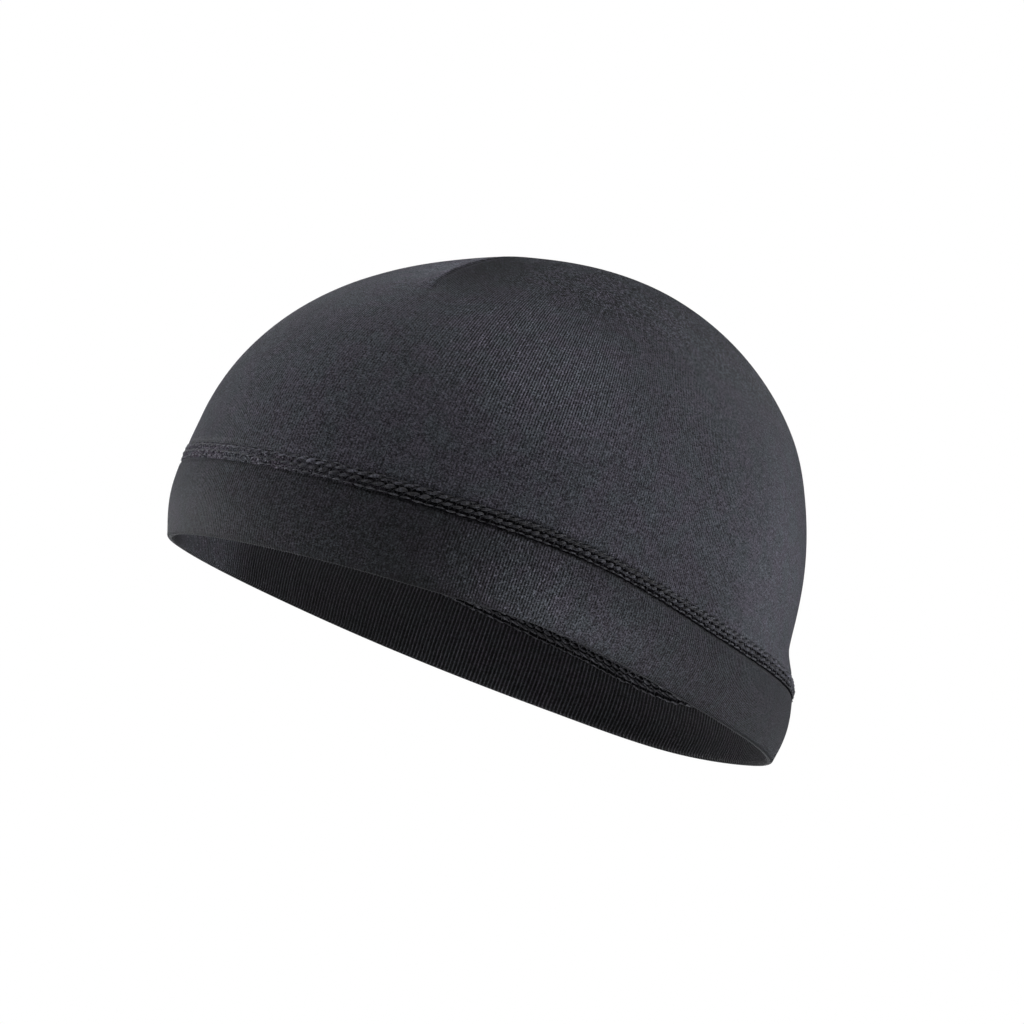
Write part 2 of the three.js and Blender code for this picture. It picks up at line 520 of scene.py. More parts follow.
class NodeTree:
    """A tree of shader nodes."""

    def __init__(self, tree: bpy.types.NodeTree) -> None:
        """Empties the tree and keeps it."""
        self.tree = tree
        tree.nodes.clear()

    def node(
        self, kind: str, settings: Settings | None = None, inputs: Inputs | None = None
    ) -> bpy.types.Node:
        """Adds a node.

        Args:
            kind: The node's type.
            settings: Its settings, which are set first, with a ramp's stops as "stops".
            inputs: What its sockets hold or are linked to.

        Returns:
            The node.
        """
        made = self.tree.nodes.new(kind)
        for name, setting in (settings or {}).items():
            if name == "stops":
                self.put_stops(made.color_ramp.elements, setting)
            else:
                setattr(made, name, setting)
        for key, given in (inputs or {}).items():
            self.plug(given, made.inputs[key])
        return made

    @staticmethod
    def put_stops(
        elements: bpy.types.ColorRampElements, stops: list[tuple[float, tuple[float, ...]]]
    ) -> None:
        """Sets a ramp's stops.

        Args:
            elements: The ramp's own stops, of which a new ramp has two.
            stops: The place and colour of each stop, in order.
        """
        first, *middle, last = stops
        for element, (place, colour) in zip(elements, (first, last)):
            element.position, element.color = place, colour
        for place, colour in middle:
            elements.new(place).color = colour

    def plug(self, given: object, socket: bpy.types.NodeSocket) -> None:
        """Links a socket to another, or sets its value.

        Args:
            given: The other socket, wrapped or plain, or the value.
            socket: The socket.
        """
        source = given.socket if isinstance(given, Value) else given
        if isinstance(source, bpy.types.NodeSocket):
            self.tree.links.new(source, socket)
        else:
            socket.default_value = source

    def value(self, kind: str, settings: Settings, inputs: Inputs, output: str | int) -> Value:
        """Adds a node and wraps one of its number outputs."""
        return Value(self, self.node(kind, settings, inputs).outputs[output])

    def math(self, operation: str, *terms: Value | float) -> Value:
        """Adds a Math node on values or links and wraps its result."""
        inputs = dict(enumerate(terms))
        return self.value("ShaderNodeMath", {"operation": operation}, inputs, "Value")

    def parts(self, vector: bpy.types.NodeSocket) -> list[Value]:
        """Splits a vector into its three numbers."""
        split = self.node("ShaderNodeSeparateXYZ", inputs={0: vector})
        return [Value(self, part) for part in split.outputs]

    def blend(self, share: object, first: object, second: object) -> bpy.types.NodeSocket:
        """Mixes two colours, where the share says how much of the second shows."""
        inputs = {0: share, 6: first, 7: second}
        return self.node("ShaderNodeMix", {"data_type": "RGBA"}, inputs).outputs[2]


class Shader(NodeTree):
    """One material's nodes, which end in a Principled shader. Lengths are millimetres."""

    CORE = 0.3

    def __init__(self, name: str) -> None:
        """Starts a material with only its shader and output.

        Args:
            name: The material's name.
        """
        self.material = bpy.data.materials.new(name)
        self.material.use_nodes = True
        super().__init__(self.material.node_tree)
        self.surface = self.node("ShaderNodeBsdfPrincipled")
        self.node("ShaderNodeOutputMaterial", inputs={"Surface": self.surface.outputs["BSDF"]})
        self.place = self.node("ShaderNodeTexCoord").outputs["Object"]

    def noise(self, size: float, detail: float = 2.0, rough: float = 0.5) -> Value:
        """Adds noise about 0.5, with blots of a size and finer layers of a roughness."""
        inputs = {"Vector": self.place, "Scale": 1 / (size * MM)}
        inputs |= {"Detail": detail, "Roughness": rough}
        return self.value("ShaderNodeTexNoise", {}, inputs, "Fac")

    def specks(self, size: float) -> Value:
        """Adds small cells, each with a shade of its own from 0 to 1."""
        inputs = {"Vector": self.place, "Scale": 1 / (size * MM)}
        cells = self.node("ShaderNodeTexVoronoi", inputs=inputs)
        return self.value("ShaderNodeSeparateColor", {}, {0: cells.outputs["Color"]}, "Red")

    def salt(self, size: float) -> Value:
        """Adds specks about 0 of which a few are much paler than the others."""
        return self.specks(size) ** 2.0 * 1.5 - 0.5

    def nearness(self, place: Place, reach: float) -> Value:
        """Fades from 1 round a place to 0 at its reach.

        Args:
            place: The place.
            reach: How far it reaches.

        Returns:
            The nearness.
        """
        inputs = {0: self.place, 1: tuple(part * MM for part in place)}
        away = self.value("ShaderNodeVectorMath", {"operation": "DISTANCE"}, inputs, "Value")
        return 1 - away.ramp(reach * self.CORE * MM, reach * MM)

    def tinted(self, colour: Colour, strength: Value) -> bpy.types.NodeSocket:
        """Scales a colour by a varying number."""
        inputs = {0: colour, "Scale": strength}
        return self.node("ShaderNodeVectorMath", {"operation": "SCALE"}, inputs).outputs["Vector"]

    def bump(self, height: Value, depth: float) -> None:
        """Raises the surface's relief, whose height runs from 0 to 1, by a depth."""
        inputs = {"Height": height, "Distance": depth * MM, "Strength": 1.0}
        self.set(Normal=self.node("ShaderNodeBump", {}, inputs).outputs["Normal"])

    def set(self, **sockets: object) -> None:
        """Sets or links the shader's own sockets, with _ for a space in a name."""
        for key, given in sockets.items():
            self.plug(given, self.surface.inputs[key.replace("_", " ")])


@dataclass(frozen=True)
class KnitFinish:
    """Fine stretch knit: upright wales crossed by courses. Lengths are millimetres.

    The wales run in upright planes that meet in a line through axis. Round one place the knit
    carries painted light: its ribs take another strength there, pale flecks stand for glints as
    painted highlight, and its colour is paler. A field with a pattern's name alone holds its
    strength, and the same name with _size says how large its spots are.
    """

    name: str
    colour: Colour
    wales: int
    course: float
    domed: bool = False
    axis: Span = (0.0, 0.0)
    oval: float = 1.107
    painted_light_place: Place = (0.0, 0.0, 0.0)
    painted_light_reach: float = 1.0
    painted_light_gain: float = 0.0
    rib_share: float = 0.15
    painted_light_rib_share: float = 0.15
    sharpness: float = 1.5
    wander: float = 2.4
    wander_size: float = 14.0
    leg: float = 2.2
    stitch: float = 0.25
    uneven: float = 0.6
    uneven_size: float = 0.55
    dome_radius: float = 88.0
    pole: Span = (8.0, 34.0)
    grain_size: float = 0.28
    loose_size: float = 0.42
    loose_height: Span = (74.0, 98.0)
    loose_gain: float = 1.75
    tight_gain: float = 0.85
    speckle: float = 1.5
    coarse: float = 0.4
    coarse_size: float = 0.6
    mottle: float = 0.35
    mottle_size: float = 22.0
    fleck: float = 0.5
    painted_glint_fleck: float = 3.0
    fleck_size: float = 0.5
    fleck_edge: Span = (0.61, 0.71)
    tint_size: float = 6.0
    tint_edge: Span = (0.35, 0.65)
    cool: Colour = (0.97, 1.02, 1.0)
    warm: Colour = (1.06, 0.97, 1.03)
    darkest: float = 0.06
    relief: float = 0.12
    knit_relief: float = 0.35
    grain_relief: float = 0.3
    roughness: float = 0.75
    knit_shine: float = 0.05
    grain_dullness: float = 0.15
    gloss: float = 0.12
    sheen: float = 0.12
    sheen_roughness: float = 0.35
    sheen_tint: tuple[float, ...] = (0.92, 0.95, 1.0, 1.0)

    def stitches(self, shader: Shader, x: Value, y: Value, z: Value) -> Value:
        """Builds the pattern of wales and courses.

        Args:
            shader: The material's nodes.
            x: The place toward the wearer's left.
            y: The place toward the back.
            z: The place upward.

        Returns:
            The pattern, about 1.
        """
        east = x - self.axis[0] * MM
        north = (y - self.axis[1] * MM) / self.oval
        wander = shader.noise(self.wander_size, detail=1.0) * self.wander
        wale = shader.math("ARCTAN2", north, east) * float(self.wales) + wander
        climb = z
        if self.domed:
            reach = (east * east + north * north) ** 0.5
            climb = shader.math("ARCTAN2", z, reach) * (self.dome_radius * MM)
        leg = shader.math("ABSOLUTE", shader.math("SINE", wale * 0.5))
        stitch = (climb * (2 * math.pi / (self.course * MM)) + leg * self.leg).wave()
        # a peaked wave is divided by its own mean, so that crisp ribs leave the shade as it is
        mean = math.gamma(self.sharpness + 0.5)
        mean = mean / (math.sqrt(math.pi) * math.gamma(self.sharpness + 1))
        rib = wale.wave() ** self.sharpness / mean
        uneven = stitch * self.stitch + shader.specks(self.uneven_size) * self.uneven
        knit = rib * (uneven + (1 - (self.stitch + self.uneven) / 2))
        return knit * reach.ramp(*(part * MM for part in self.pole)) if self.domed else knit

    def grains(self, shader: Shader, z: Value) -> Value:
        """Builds the grain, which is larger and looser toward the top of a dome.

        Args:
            shader: The material's nodes.
            z: The place upward.

        Returns:
            The grain, about 0.
        """
        grain = shader.salt(self.grain_size)
        if self.domed:
            high = z.ramp(*(part * MM for part in self.loose_height))
            loose = shader.salt(self.loose_size) * high * self.loose_gain
            grain = grain * (1 - high) * self.tight_gain + loose
        return grain

    def make(self) -> bpy.types.Material:
        """Builds the knit's material.

        Returns:
            The material.
        """
        shader = Shader(self.name)
        x, y, z = shader.parts(shader.place)
        knit, grain = self.stitches(shader, x, y, z), self.grains(shader, z)
        # painted light round one place: other rib strength, pale flecks as painted glints, paler
        # colour
        painted_light_near = shader.nearness(self.painted_light_place, self.painted_light_reach)
        share = painted_light_near * (self.painted_light_rib_share - self.rib_share) + self.rib_share
        broad = shader.noise(self.mottle_size, rough=0.55) - 0.5
        fleck = shader.noise(self.fleck_size, detail=1.0).ramp(*self.fleck_edge)
        # the coarse specks still show where the cloth turns away from the eye
        coarse = (shader.specks(self.coarse_size) - 0.5) * self.coarse
        strength = (knit - 1) * share + grain * self.speckle + broad * self.mottle
        strength = strength + coarse + fleck * (painted_light_near * self.painted_glint_fleck + self.fleck) + 1
        # painted light round one place and the piece's own painted light and shade scale the colour
        painted_shading = shader.value("ShaderNodeAttribute", {"attribute_name": PAINTED_SHADING}, {}, "Fac")
        strength = strength * (painted_light_near * self.painted_light_gain + 1) * (painted_shading + 1)
        strength = shader.math("MAXIMUM", strength, self.darkest)
        cool, warm = (
            shader.tinted(tuple(np.multiply(self.colour, tint)), strength)
            for tint in (self.cool, self.warm)
        )
        shader.set(
            Base_Color=shader.blend(shader.noise(self.tint_size).ramp(*self.tint_edge), cool, warm),
            Roughness=self.roughness - knit * self.knit_shine + grain * self.grain_dullness,
            Specular_IOR_Level=self.gloss,
            Sheen_Weight=self.sheen,
            Sheen_Roughness=self.sheen_roughness,
            Sheen_Tint=self.sheen_tint,
        )
        shader.bump(knit * self.knit_relief + grain * self.grain_relief, self.relief)
        return shader.material


@dataclass(frozen=True)
class ThreadFinish:
    """Twisted thread, in millimetres. Its map runs along it in whole stitches and once around."""

    name: str
    colour: Colour
    # the thread is darker round one place, as painted shade
    shade_place: Place = (44.0, -79.0, 22.0)
    shade_reach: float = 46.0
    painted_shade: float = 0.45
    twists: float = 5.0
    strands_around: float = 2.0
    ply: float = 0.25
    strands: float = 1.8
    strand_size: float = 0.45
    fuzz: float = 0.6
    fuzz_size: float = 0.3
    mottle: float = 0.4
    mottle_size: float = 9.0
    least: float = 0.28
    relief: float = 0.05
    roughness: float = 0.6
    fuzz_dullness: float = 0.2
    gloss: float = 0.3
    sheen: float = 0.12
    sheen_roughness: float = 0.4

    def make(self) -> bpy.types.Material:
        """Builds the thread's material.

        Returns:
            The material.
        """
        shader = Shader(self.name)
        along, around, _ = shader.parts(shader.node("ShaderNodeTexCoord").outputs["UV"])
        ply = ((along * self.twists + around * self.strands_around) * (2 * math.pi)).wave()
        fuzz = shader.noise(self.fuzz_size, rough=0.6) - 0.5
        broad = shader.noise(self.mottle_size, detail=1.0) - 0.5
        strands = shader.specks(self.strand_size) ** 2.0
        strength = ply * self.ply + strands * self.strands + fuzz * self.fuzz
        strength = strength + broad * self.mottle + self.least
        # painted shade round one place
        strength = strength * (1 - shader.nearness(self.shade_place, self.shade_reach) * self.painted_shade)
        shader.set(
            Base_Color=shader.tinted(self.colour, strength),
            Roughness=self.roughness + fuzz * self.fuzz_dullness,
            Specular_IOR_Level=self.gloss,
            Sheen_Weight=self.sheen,
            Sheen_Roughness=self.sheen_roughness,
        )
        shader.bump(ply, self.relief)
        return shader.material


@dataclass(frozen=True)
class BackdropFinish:
    """The plain pale floor, which stays even from all sides."""

    name: str = "pale_floor"
    colour: tuple[float, ...] = (0.9, 0.9, 0.9, 1.0)
    glow: tuple[float, ...] = (1.0, 1.0, 1.0, 1.0)
    light: float = 1.0

    def make(self) -> bpy.types.Material:
        """Builds the floor's material.

        Returns:
            The material.
        """
        shader = Shader(self.name)
        shader.set(
            Base_Color=self.colour,
            Roughness=1.0,
            Specular_IOR_Level=0.0,
            Emission_Color=self.glow,
            Emission_Strength=self.light,
        )
        return shader.material


class RingStack:
    """One mesh of closed rings, each rolled from a flat grid and laid on the cap."""

    CHART = "along_and_around"
    CLOSE = 1e-4

    def __init__(self) -> None:
        """Starts with no rings."""
        self.rings: list[bpy.types.Mesh] = []

    def add(
        self,
        steps: int,
        sides: int,
        place: Placer,
        stitches: int = 1,
        look: int = 0,
        painted_shading: Placer | None = None,
    ) -> None:
        """Rolls a flat grid into a ring and lays it.

        Args:
            steps: How many parts it has around the cap.
            sides: How many parts its section has.
            place: Gives the points, in millimetres, from turns and section angles in degrees.
            stitches: How many times its map repeats around the cap.
            look: Which of the piece's materials it has.
            painted_shading: Gives how much paler the cloth is, from the same turns and angles.
        """
        bm = bmesh.new()
        chart = bm.loops.layers.uv.new(self.CHART)
        shade = bm.verts.layers.float.new(PAINTED_SHADING)
        bmesh.ops.create_grid(bm, x_segments=steps, y_segments=sides, size=0.5)
        for face in bm.faces:
            face.material_index = look
            for loop in face.loops:
                spot = loop.vert.co
                loop[chart].uv = ((spot.x + 0.5) * stitches, spot.y + 0.5)
        flat = np.array([vert.co for vert in bm.verts]) + 0.5
        # the far edges of the grid meet the near ones
        share = np.where(flat > 1 - self.CLOSE, 0.0, flat)
        turn, section = share.T[:2] * FULL_TURN
        pales = painted_shading(turn, section) if painted_shading else np.zeros(len(turn))
        for vert, point, pale in zip(bm.verts, place(turn, section), pales):
            vert.co = point * MM
            vert[shade] = pale
        rim = [vert for vert in bm.verts if vert.is_boundary]
        bmesh.ops.remove_doubles(bm, verts=rim, dist=self.CLOSE * MM)
        bmesh.ops.recalc_face_normals(bm, faces=bm.faces[:])
        ring = bpy.data.meshes.new("ring")
        bm.to_mesh(ring)
        bm.free()
        self.rings.append(ring)

    def finish(self, name: str) -> bpy.types.Object:
        """Makes the rings one piece.

        Args:
            name: The piece's name.

        Returns:
            The piece.
        """
        bm = bmesh.new()
        for ring in self.rings:
            bm.from_mesh(ring)
            bpy.data.meshes.remove(ring)
        return as_piece(bm, name)


def as_piece(bm: bmesh.types.BMesh, name: str) -> bpy.types.Object:
    """Makes a smooth-shaded object of a finished bmesh.

    Args:
        bm: The bmesh, which is freed.
        name: The piece's name.

    Returns:
        The object, in the scene.
    """
    mesh = bpy.data.meshes.new(name)
    bm.to_mesh(mesh)
    bm.free()
    mesh.shade_smooth()
    piece = bpy.data.objects.new(name, mesh)
    bpy.context.scene.collection.objects.link(piece)
    return piece


def told(piece: bpy.types.Object, node: str | None) -> bpy.types.Object:
    """Rides a piece on the cap, hides the solid it stands for and logs its faces.

    Args:
        piece: The piece.
        node: The solid it stands for, if any.

    Returns:
        The piece.
    """
    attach(piece, "root")
    if node:
        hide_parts(node)
    log.info("%s: %d faces", piece.name, len(piece.data.polygons))
    return piece


@dataclass
class Crown:
    """The one-piece knit dome, a single ply with its short crease.

    Lengths are millimetres, apart from the flat cloth's width and length, which are metres.
    """

    CLOSE = 1e-5

    shape: CapShape
    dart: Dart
    columns: int = 400
    rows: int = 84
    crowding: float = 0.35
    foot_rise: float = 3.0
    flat: Span = (0.27, 0.25)
    # patches of painted light and painted shade on the dome
    patches: tuple[Patch, ...] = (
        Patch(264.0, 43.0, 13.0, 14.0, 0.45),
        Patch(13.0, 16.0, 15.0, 22.0, 0.45),
        Patch(299.0, 4.0, 11.0, 8.0, -0.1),
        Patch(332.0, 14.0, 14.0, 9.0, 0.1),
        Patch(254.0, 0.0, 12.0, 5.0, -0.22),
        Patch(355.0, 1.0, 9.0, 6.0, -0.15),
    )

    def turns(self, turn: Array) -> Array:
        """Crowds the columns toward the crease, where the cloth bends most."""
        away = np.radians(turn - self.dart.turn)
        return turn - np.degrees(self.crowding * np.sin(away) * (1 + np.cos(away)) / 2)

    def place(self, raw: Array, depth: float) -> tuple[Array, Array]:
        """Lays points of a round dome on the crown.

        Args:
            raw: The points of a dome of radius 1.
            depth: How far inside the outer face they go.

        Returns:
            The points on the crown, and how much paler the cloth is there.
        """
        turn = self.turns(np.degrees(np.arctan2(raw[:, 1], raw[:, 0])))
        rise = np.degrees(np.arcsin(np.clip(raw[:, 2], 0.0, 1.0)))
        spots = Spots(turn, rise, self.shape.dome(turn, rise))
        painted_shading = self.dart.paleness(self.shape, spots) + patched(self.patches, turn, rise)
        lift = self.dart.height(self.shape, spots) - depth
        points = spots.points + self.shape.dome_outward(turn, rise) * lift[:, None]
        points[:, 2] -= self.shape.covered(turn) * np.clip(1 - rise / self.foot_rise, 0.0, 1.0)
        return points, painted_shading

    def build(self) -> bpy.types.Object:
        """Builds the dome's two faces and closes its foot.

        Returns:
            The piece.
        """
        bm = bmesh.new()
        painted_shading = bm.verts.layers.float.new(PAINTED_SHADING)
        bmesh.ops.create_uvsphere(
            bm, u_segments=self.columns, v_segments=2 * self.rows, radius=1.0
        )
        whole = bm.verts[:] + bm.edges[:] + bm.faces[:]
        bmesh.ops.bisect_plane(
            bm,
            geom=whole,
            dist=self.CLOSE,
            plane_co=(0, 0, 0),
            plane_no=(0, 0, 1),
            clear_inner=True,
        )
        outer = bm.verts[:]
        twin = bmesh.ops.duplicate(bm, geom=bm.verts[:] + bm.edges[:] + bm.faces[:])["geom"]
        inner = [part for part in twin if isinstance(part, bmesh.types.BMVert)]
        bmesh.ops.reverse_faces(
            bm, faces=[part for part in twin if isinstance(part, bmesh.types.BMFace)]
        )
        open_edges = [edge for edge in bm.edges if edge.is_boundary]
        bmesh.ops.bridge_loops(bm, edges=open_edges)
        for verts, depth in ((outer, 0.0), (inner, self.shape.crown_wall)):
            points, paleness = self.place(np.array([vert.co for vert in verts]), depth)
            for vert, point, pale in zip(verts, points * MM, paleness):
                vert.co = point
                vert[painted_shading] = pale
        return as_piece(bm, "crown_knit")

    def dress(self, piece: bpy.types.Object) -> None:
        """Gives the dome its knit.

        Args:
            piece: The dome.
        """
        knit = KnitFinish(
            name="crown_knit",
            colour=(0.040, 0.0415, 0.0505),
            wales=905,
            course=0.7,
            domed=True,
            axis=(-8.0, 18.0),
            oval=1.0,
            # painted highlight round the upper front: crisper ribs, painted glints and a paler
            # colour
            painted_light_place=(44.0, -64.0, 69.0),
            painted_light_reach=35.0,
            painted_light_gain=0.1,
            painted_light_rib_share=1.15,
        )
        piece.data.materials.append(knit.make())

    def declare(self, piece: bpy.types.Object, sewn: list[bpy.types.Object]) -> None:
        """Reads the flat cloth's width and length, and does nothing with them.

        Args:
            piece: The dome; not used.
            sewn: The pieces that are sewn on it; not used.
        """
        width, length = self.flat


@dataclass
class Band:
    """The band: one strip of knit, folded along its lower edge.

    Lengths are millimetres, apart from the flat cloth's length and width, which are metres.
    """

    shape: CapShape
    steps: int = 400
    sides: int = 72
    ply: float = 0.93
    fold_share: float = 0.12
    roll: float = 0.3
    roll_from: float = 0.95
    flat: Span = (0.54, 0.042)
    # painted shade along the fold, and patches of painted light and painted shade on each skin
    fold_shade: Patch = Patch(0.0, 0.0, 2000.0, 0.18, -0.6)
    outer_patches: tuple[Patch, ...] = (
        Patch(307.0, 0.6, 13.0, 1.2, -0.36),
        Patch(334.0, 0.35, 15.0, 0.45, 1.1),
        Patch(238.0, 0.6, 18.0, 1.2, 0.35),
    )
    inner_patches: tuple[Patch, ...] = (
        Patch(120.0, 0.5, 26.0, 1.5, 0.75),
        Patch(162.0, 0.5, 14.0, 1.5, -0.2),
    )

    def place(self, turn: Array, section: Array) -> Array:
        """Lays a section on the folded strip: its outer skin first, and back along its inner skin.

        Args:
            turn: The turns.
            section: The places around the section, in degrees.

        Returns:
            The points.
        """
        outer_skin, path = halves(section)
        half = self.ply / 2
        # the middle of the strip comes down outside, turns at the fold and goes up inside
        bend = (self.shape.band_wall - self.ply) / 2
        bottom = self.shape.around("rim_rise", turn) + half + bend
        top = self.shape.band_top(turn)
        down = np.clip(path / (0.5 - self.fold_share), 0.0, 1.0)
        up = np.clip((path - 0.5 - self.fold_share) / (0.5 - self.fold_share), 0.0, 1.0)
        around = np.clip((path - 0.5 + self.fold_share) / (2 * self.fold_share), 0.0, 1.0) * np.pi
        # the inner skin's rings crowd toward the seam, so that it stays flat up to its edge
        share = np.where(path < 0.5, 1 - down, np.sin(up * np.pi / 2))
        face = self.shape.band_outward(turn, share)
        centre = self.shape.band_outward(turn, 0.0) - half - bend
        off = np.where(outer_skin, half, -half)
        roll = self.roll * smoothstep(share, self.roll_from, 1.0)
        straight = np.where(path < 0.5, face - half + off - roll, face - half - 2 * bend - off)
        turned = centre + (bend + off) * np.cos(around)
        on_fold = (around > 0) & (around < np.pi)
        low, high = bottom - (bend + off) * np.sin(around), bottom + (top - bottom) * share
        outward, height = np.where(on_fold, turned, straight), np.where(on_fold, low, high)
        return self.shape.on_oval(turn, outward, height)

    def painted_shading(self, turn: Array, section: Array) -> Array:
        """Works out each skin's painted light and shade, with painted shade along the fold.

        Args:
            turn: The turns.
            section: The places around the section, in degrees.

        Returns:
            The share added to the cloth's colour.
        """
        _, path = halves(section)
        rise = np.abs(2 * path - 1)
        outer, inner = (
            patched((self.fold_shade, *patches), turn, rise)
            for patches in (self.outer_patches, self.inner_patches)
        )
        return np.where(path < 0.5, outer, inner)

    def build(self) -> bpy.types.Object:
        """Builds the folded strip.

        Returns:
            The piece.
        """
        stack = RingStack()
        stack.add(self.steps, self.sides, self.place, painted_shading=self.painted_shading)
        return stack.finish("band_knit")

    def dress(self, piece: bpy.types.Object) -> None:
        """Gives the outside its fine knit and the inside its coarser ribs.

        Both carry painted light, and the inside painted shade too.

        Args:
            piece: The band.
        """
        outside = KnitFinish(
            name="band_knit",
            colour=(0.0220, 0.0229, 0.0275),
            wales=740,
            course=0.7,
            # painted light low on the front: crisper ribs, painted glints and a paler colour
            painted_light_place=(58.0, -67.0, 11.0),
            painted_light_reach=28.0,
            painted_light_gain=0.1,
            rib_share=0.12,
            painted_light_rib_share=0.8,
        )
        # painted light, where its ribs fade
        # the inside is darker than the outside as painted shade, and much paler round one place as
        inside = KnitFinish(
            name="band_inner_ribs_painted_light_and_shade",
            colour=(0.010, 0.010, 0.012),
            wales=470,
            course=0.9,
            painted_light_place=(-68.0, -42.0, 5.0),
            painted_light_reach=32.0,
            painted_light_gain=2.8,
            rib_share=1.0,
            painted_light_rib_share=0.2,
            sharpness=3.0,
            speckle=0.9,
            relief=0.2,
        )
        mesh = piece.data
        mesh.materials.append(outside.make())
        mesh.materials.append(inside.make())
        chart = np.zeros(len(mesh.loops) * 2, np.float32)
        mesh.uv_layers[0].data.foreach_get("uv", chart)
        # the inside is the middle half of the way around the section
        place = chart.reshape(-1, 4, 2)[:, :, 1].mean(axis=1)
        within = np.abs(place - 0.5) < 0.25
        mesh.polygons.foreach_set("material_index", within.astype(np.int32))

    def declare(self, piece: bpy.types.Object) -> None:
        """Does nothing with the band."""


@dataclass(frozen=True)
class Bead:
    """A row of stitches that lie like beads. Lengths are millimetres.

    Args:
        across: How far the row is up from the band's top.
        radius: Half the width of a stitch.
        flatness: How high it is for its width.
        neck: How thin it is between stitches, as a share.
        tilt: How far across a stitch slants.
        phase: Where its stitches start, in stitches.
        base: How far off the cloth its neck is.
        arch: How much further off its middle is.
        peak: How short and peaked a stitch is, with 1 for an even arch.
        look: Which of the piece's materials it has.
    """

    across: float
    radius: float
    flatness: float
    neck: float
    tilt: float
    phase: float
    base: float
    arch: float
    peak: float
    look: int = 0


@dataclass(frozen=True)
class Loop:
    """A thread that winds between two rows. Lengths are millimetres.

    Args:
        across: The middle of its winding.
        swing: How far it swings to each side.
        radius: Its own radius.
        phase: Where it starts, in stitches.
        base: How far off the cloth it is.
        arch: How much it rises and falls.
        look: Which of the piece's materials it has.
    """

    across: float
    swing: float
    radius: float
    phase: float
    base: float
    arch: float
    look: int = 0


